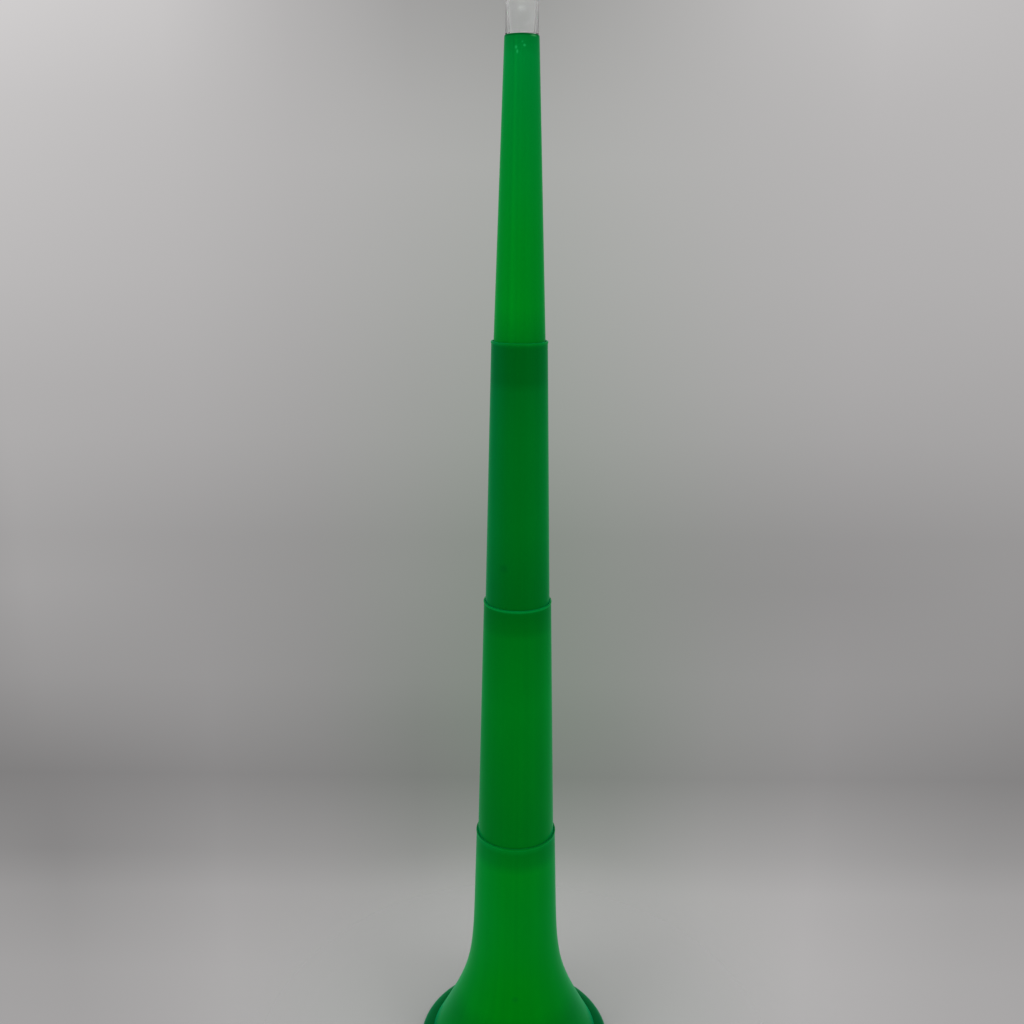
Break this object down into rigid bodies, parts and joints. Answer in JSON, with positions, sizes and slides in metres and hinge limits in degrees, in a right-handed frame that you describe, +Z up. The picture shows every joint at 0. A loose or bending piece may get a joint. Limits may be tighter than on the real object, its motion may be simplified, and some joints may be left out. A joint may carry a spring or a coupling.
{
  "type": "vuvuzela",
  "caption": "Collapsible plastic stadium horn with a flared bell, telescoping conical tubes and a clear push-in mouthpiece, standing on its bell.",
  "frame": {"origin": "on the floor, at the middle of the bell's mouth", "axes": "+Z up along the horn's axis, from the bell to the mouthpiece; the horn is round, so X and Y are free"},
  "size_m": [0.112, 0.112, 0.5999],
  "materials": {
    "bell_green": "translucent, satin gloss",
    "lower_tube_green": "translucent, satin gloss",
    "middle_tube_green": "translucent, satin gloss",
    "upper_tube_green": "translucent, satin gloss",
    "mouthpiece_clear": "clear, polished"
  },
  "bodies": {
    "bell": {"bell": "bell_green"},
    "lower_tube": {"lower_tube": "lower_tube_green"},
    "middle_tube": {"middle_tube": "middle_tube_green"},
    "upper_tube": {"upper_tube": "upper_tube_green"},
    "mouthpiece": {"mouthpiece": "mouthpiece_clear"}
  },
  "joints": [
    {"name": "lower_tube_slide", "type": "slide", "parent": "bell", "child": "lower_tube", "axis": [0, 0, 1], "range_m": [-0.128, 0]},
    {"name": "middle_tube_slide", "type": "slide", "parent": "lower_tube", "child": "middle_tube", "axis": [0, 0, 1], "range_m": [-0.1362, 0]},
    {"name": "upper_tube_slide", "type": "slide", "parent": "middle_tube", "child": "upper_tube", "axis": [0, 0, 1], "range_m": [-0.1328, 0]},
    {"name": "mouthpiece_pull", "type": "slide", "parent": "upper_tube", "child": "mouthpiece", "axis": [0, 0, 1], "range_m": [0, 0.016]}
  ]
}
